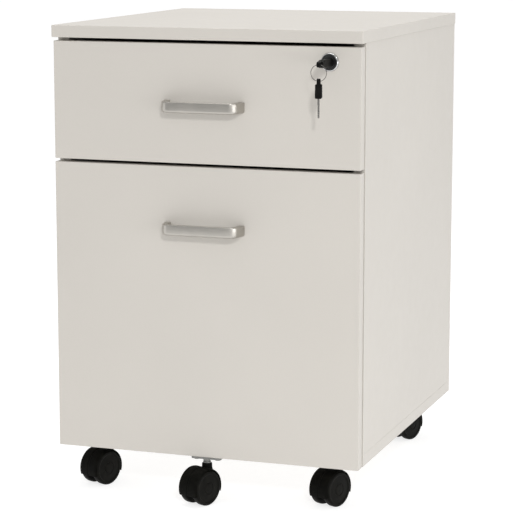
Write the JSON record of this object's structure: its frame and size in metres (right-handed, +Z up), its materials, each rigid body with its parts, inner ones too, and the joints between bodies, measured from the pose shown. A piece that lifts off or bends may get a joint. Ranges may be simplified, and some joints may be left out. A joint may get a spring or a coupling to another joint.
{
  "type": "mobile drawer pedestal",
  "caption": "Low under-desk pedestal on castors with a shallow drawer over a deep file drawer, bow handles and a key lock that blocks both drawers.",
  "frame": {"origin": "on the floor, below the middle of the overall box", "axes": "+Z up, +X to the right seen from the drawers' side, +Y from the drawer fronts to the back"},
  "size_m": [0.4, 0.5002, 0.59],
  "materials": {
    "laminate": "satin melamine-faced board",
    "drawer_board": "satin melamine-faced board",
    "satin_metal": "satin nickel-look",
    "chrome": "polished",
    "ring_steel": "nickel-plated wire",
    "dark_plug": "dark nickel",
    "key_steel": "nickel-plated",
    "key_plastic": "fine matte grain",
    "zinc_steel": "bright zinc plate",
    "castor_plastic": "moulded nylon",
    "castor_wheel": "moulded nylon"
  },
  "bodies": {
    "cabinet": {"top_panel": "laminate", "bottom_panel": "laminate", "back_panel": "laminate", "left_side_panel": "laminate", "right_side_panel": "laminate", "panel_cam_fittings": "zinc_steel", "upper_slide_cabinet_members": "zinc_steel", "file_slide_cabinet_members": "zinc_steel", "corner_castor_plates": "zinc_steel", "corner_castor_kingpins": "zinc_steel", "corner_castor_screws": "zinc_steel"},
    "upper_drawer": {"upper_drawer_front": "laminate", "upper_drawer_left_side": "drawer_board", "upper_drawer_right_side": "drawer_board", "upper_drawer_back": "drawer_board", "upper_drawer_bottom": "drawer_board", "upper_drawer_handle": "satin_metal", "upper_drawer_handle_screws": "zinc_steel", "upper_slide_drawer_members": "zinc_steel", "lock_housing": "chrome", "lock_nut": "zinc_steel", "upper_drawer_lock_catch": "zinc_steel"},
    "file_drawer": {"file_drawer_front": "laminate", "file_drawer_left_side": "drawer_board", "file_drawer_right_side": "drawer_board", "file_drawer_back": "drawer_board", "file_drawer_bottom": "drawer_board", "file_drawer_handle": "satin_metal", "file_drawer_handle_screws": "zinc_steel", "file_slide_drawer_members": "zinc_steel", "hanging_file_rails": "zinc_steel", "file_drawer_lock_catch": "zinc_steel", "drawer_castor_plate": "zinc_steel", "drawer_castor_kingpin": "zinc_steel", "drawer_castor_screws": "zinc_steel"},
    "upper_slide": {"upper_slide_middle_members": "zinc_steel"},
    "file_slide": {"file_slide_middle_members": "zinc_steel"},
    "lock_plug_and_key": {"lock_plug": "dark_plug", "lock_crank": "zinc_steel", "key_blade": "key_steel", "key_head": "key_plastic"},
    "lock_bar": {"lock_bar": "zinc_steel"},
    "key_ring": {"key_ring": "ring_steel"},
    "spare_key": {"spare_key_head": "key_plastic", "spare_key_blade": "key_steel"},
    "front_left_castor_swivel": {"front_left_castor_hood": "castor_plastic"},
    "front_left_castor_roll": {"front_left_castor_axle": "zinc_steel", "front_left_castor_wheels": "castor_wheel"},
    "front_right_castor_swivel": {"front_right_castor_hood": "castor_plastic"},
    "front_right_castor_roll": {"front_right_castor_axle": "zinc_steel", "front_right_castor_wheels": "castor_wheel"},
    "back_left_castor_swivel": {"back_left_castor_hood": "castor_plastic"},
    "back_left_castor_roll": {"back_left_castor_axle": "zinc_steel", "back_left_castor_wheels": "castor_wheel"},
    "back_right_castor_swivel": {"back_right_castor_hood": "castor_plastic"},
    "back_right_castor_roll": {"back_right_castor_axle": "zinc_steel", "back_right_castor_wheels": "castor_wheel"},
    "drawer_castor_swivel": {"drawer_castor_hood": "castor_plastic"},
    "drawer_castor_roll": {"drawer_castor_axle": "zinc_steel", "drawer_castor_wheels": "castor_wheel"}
  },
  "joints": [
    {"name": "upper_drawer_slide", "type": "slide", "parent": "cabinet", "child": "upper_drawer", "axis": [0, -1, 0], "range_m": [0, 0.36]},
    {"name": "upper_slide_follow", "type": "slide", "parent": "cabinet", "child": "upper_slide", "axis": [0, -1, 0], "range_m": [0, 0.185]},
    {"name": "file_drawer_slide", "type": "slide", "parent": "cabinet", "child": "file_drawer", "axis": [0, -1, 0], "range_m": [0, 0.38]},
    {"name": "file_slide_follow", "type": "slide", "parent": "cabinet", "child": "file_slide", "axis": [0, -1, 0], "range_m": [0, 0.195]},
    {"name": "key_turn", "type": "hinge", "parent": "upper_drawer", "child": "lock_plug_and_key", "pos_m": [0.1594, -0.19987, 0.5528], "axis": [0, -1, 0], "range_deg": [0, 90]},
    {"name": "lock_bar_lift", "type": "slide", "parent": "cabinet", "child": "lock_bar", "axis": [0, 0, 1], "range_m": [0, 0.0113]},
    {"name": "key_ring_swing", "type": "hinge", "parent": "lock_plug_and_key", "child": "key_ring", "pos_m": [0.1594, -0.24488, 0.5528], "axis": [0, -1, 0], "range_deg": [-20, 20]},
    {"name": "spare_key_swing", "type": "hinge", "parent": "key_ring", "child": "spare_key", "pos_m": [0.1594, -0.24488, 0.5336], "axis": [0, -1, 0], "range_deg": [-20, 20]},
    {"name": "front_left_castor_turn", "type": "hinge", "parent": "cabinet", "child": "front_left_castor_swivel", "pos_m": [-0.1545, -0.14588, 0.045], "axis": [0, 0, 1], "continuous": true},
    {"name": "front_left_castor_spin", "type": "hinge", "parent": "front_left_castor_swivel", "child": "front_left_castor_roll", "pos_m": [-0.15937, -0.15793, 0.022], "axis": [0.9272, -0.3746, 0], "continuous": true},
    {"name": "front_right_castor_turn", "type": "hinge", "parent": "cabinet", "child": "front_right_castor_swivel", "pos_m": [0.1545, -0.14588, 0.045], "axis": [0, 0, 1], "continuous": true},
    {"name": "front_right_castor_spin", "type": "hinge", "parent": "front_right_castor_swivel", "child": "front_right_castor_roll", "pos_m": [0.14963, -0.15793, 0.022], "axis": [0.9272, -0.3746, 0], "continuous": true},
    {"name": "back_left_castor_turn", "type": "hinge", "parent": "cabinet", "child": "back_left_castor_swivel", "pos_m": [-0.1545, 0.20513, 0.045], "axis": [0, 0, 1], "continuous": true},
    {"name": "back_left_castor_spin", "type": "hinge", "parent": "back_left_castor_swivel", "child": "back_left_castor_roll", "pos_m": [-0.15937, 0.19307, 0.022], "axis": [0.9272, -0.3746, 0], "continuous": true},
    {"name": "back_right_castor_turn", "type": "hinge", "parent": "cabinet", "child": "back_right_castor_swivel", "pos_m": [0.1545, 0.20513, 0.045], "axis": [0, 0, 1], "continuous": true},
    {"name": "back_right_castor_spin", "type": "hinge", "parent": "back_right_castor_swivel", "child": "back_right_castor_roll", "pos_m": [0.14963, 0.19307, 0.022], "axis": [0.9272, -0.3746, 0], "continuous": true},
    {"name": "drawer_castor_turn", "type": "hinge", "parent": "file_drawer", "child": "drawer_castor_swivel", "pos_m": [0, -0.19387, 0.045], "axis": [0, 0, 1], "continuous": true},
    {"name": "drawer_castor_spin", "type": "hinge", "parent": "drawer_castor_swivel", "child": "drawer_castor_roll", "pos_m": [-0.00487, -0.20593, 0.022], "axis": [0.9272, -0.3746, 0], "continuous": true}
  ],
  "couplings": [
    {"joint": "upper_slide_follow", "follows": "upper_drawer_slide", "ratio": 0.5},
    {"joint": "file_slide_follow", "follows": "file_drawer_slide", "ratio": 0.5},
    {"joint": "key_turn", "follows": "lock_bar_lift", "rad_per_m": 138.84}
  ]
}
